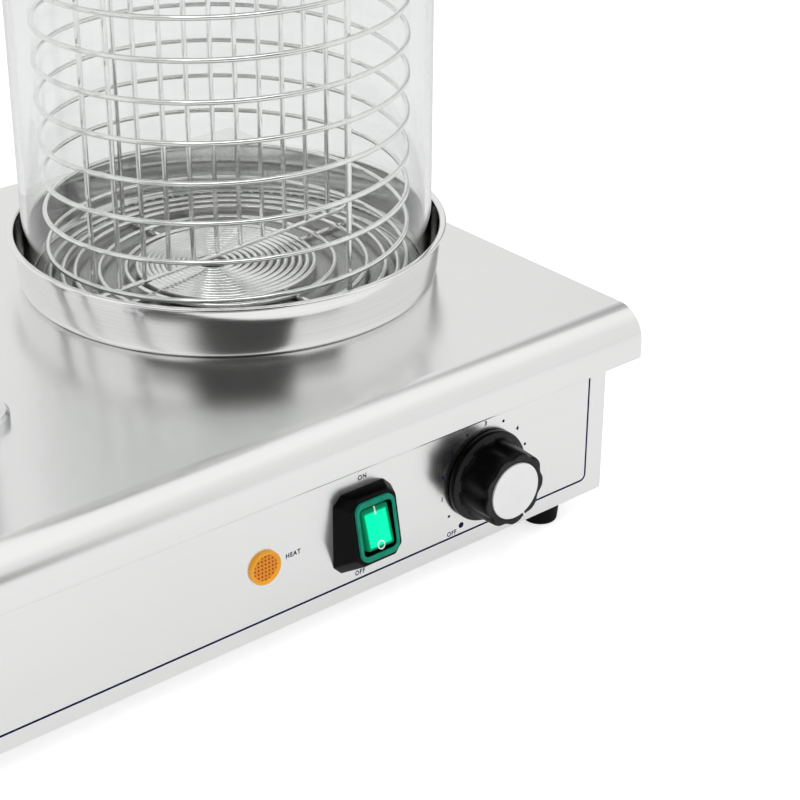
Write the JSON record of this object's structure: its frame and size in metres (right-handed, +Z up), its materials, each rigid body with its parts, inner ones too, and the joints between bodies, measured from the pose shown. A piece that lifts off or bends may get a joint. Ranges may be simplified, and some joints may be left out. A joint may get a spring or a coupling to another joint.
{
  "type": "hot dog spike machine",
  "caption": "Counter-top hot dog warmer: steel base with rolled front edge, wire basket in a lidded glass steam cylinder on a water pan, and upright heated bun spikes beside it.",
  "frame": {"origin": "on the surface it stands on, under the middle of the whole machine's bounding box", "axes": "+X to the right seen from the front, +Y to the rear, +Z up; the control panel faces -Y"},
  "size_m": [0.5, 0.355, 0.3848],
  "materials": {
    "brushed_steel": "satin brushed stainless sheet",
    "pan_steel": "bright drawn stainless sheet",
    "wire_steel": "bright stainless wire",
    "zinc_steel": "zinc-plated steel hardware",
    "cast_alloy": "machined aluminium plate",
    "spike_alloy": "polished aluminium",
    "heater_sheath": "oxidised heater tube",
    "clear_glass": "clear borosilicate glass",
    "black_plastic": "satin black moulded plastic",
    "knob_silver": "silver turned cap",
    "green_plastic": "translucent green moulded plastic",
    "amber_lens": "translucent amber lens",
    "dark_rubber": "black rubber",
    "grey_fibre": "grey heat-proof fibre gasket",
    "brass_part": "plain brass",
    "white_ceramic": "white moulded insulator",
    "lead_insulation": "silicone lead insulation",
    "copper": "drawn copper tube"
  },
  "bodies": {
    "base": {"cabinet_shell": "brushed_steel", "bottom_plate": "brushed_steel", "rear_panel": "brushed_steel", "rear_brackets": "zinc_steel", "rear_screws": "zinc_steel", "cover_studs": "zinc_steel", "cover_nuts": "zinc_steel", "rubber_feet": "dark_rubber", "foot_screws": "zinc_steel", "top_cover": "brushed_steel", "heating_plate": "cast_alloy", "plate_seal": "grey_fibre", "heater_element": "heater_sheath", "clamp_bar": "zinc_steel", "clamp_studs": "zinc_steel", "clamp_nuts": "zinc_steel", "thermal_cutout": "white_ceramic", "thermostat_bulb": "copper", "bulb_clip": "zinc_steel", "capillary": "copper", "thermostat_body": "white_ceramic", "thermostat_nut": "brass_part", "switch_frame": "black_plastic", "switch_bezel": "green_plastic", "switch_body": "black_plastic", "lamp_lens": "amber_lens", "lamp_barrel": "black_plastic", "lamp_nut": "black_plastic", "bun_spike_1": "spike_alloy", "bun_spike_2": "spike_alloy", "bun_spike_3": "spike_alloy", "bun_spike_4": "spike_alloy", "spike_washers": "zinc_steel", "spike_nuts": "zinc_steel", "spike_heaters": "heater_sheath", "terminal_block": "white_ceramic", "wiring_loom": "lead_insulation", "cord_gland": "black_plastic", "gland_nut": "black_plastic", "earth_stud": "brass_part", "earth_nut": "brass_part"},
    "knob": {"knob_grip": "black_plastic", "knob_cap": "knob_silver", "thermostat_shaft": "brass_part"},
    "rocker_switch": {"rocker": "green_plastic"},
    "pan": {"water_pan": "pan_steel"},
    "glass": {"glass_cylinder": "clear_glass"},
    "lid": {"lid_shell": "brushed_steel", "lid_knob": "black_plastic", "lid_screw": "zinc_steel"},
    "basket": {"basket_coil": "wire_steel", "basket_frame": "wire_steel", "basket_spokes": "wire_steel", "basket_rim": "wire_steel", "divider_frame": "wire_steel", "divider_wires": "wire_steel", "basket_handle": "wire_steel"}
  },
  "joints": [
    {"name": "thermostat_turn", "type": "hinge", "parent": "base", "child": "knob", "pos_m": [0.1571, -0.15555, 0.0502], "axis": [0, -1, 0], "range_deg": [0, 300]},
    {"name": "rocker_tilt", "type": "hinge", "parent": "base", "child": "rocker_switch", "pos_m": [0.0837, -0.16157, 0.05297], "axis": [1, 0, 0], "range_deg": [0, 12]},
    {"name": "pan_lift", "type": "slide", "parent": "base", "child": "pan", "axis": [0, 0, 1], "range_m": [0, 0.04]},
    {"name": "glass_lift", "type": "slide", "parent": "pan", "child": "glass", "axis": [0, 0, 1], "range_m": [0, 0.26]},
    {"name": "lid_lift", "type": "slide", "parent": "glass", "child": "lid", "axis": [0, 0, 1], "range_m": [0, 0.31]},
    {"name": "basket_lift", "type": "slide", "parent": "pan", "child": "basket", "axis": [0, 0, 1], "range_m": [0, 0.248]}
  ],
  "couplings": [
    {"joint": "basket_lift", "follows": "lid_lift", "ratio": 0.8}
  ]
}
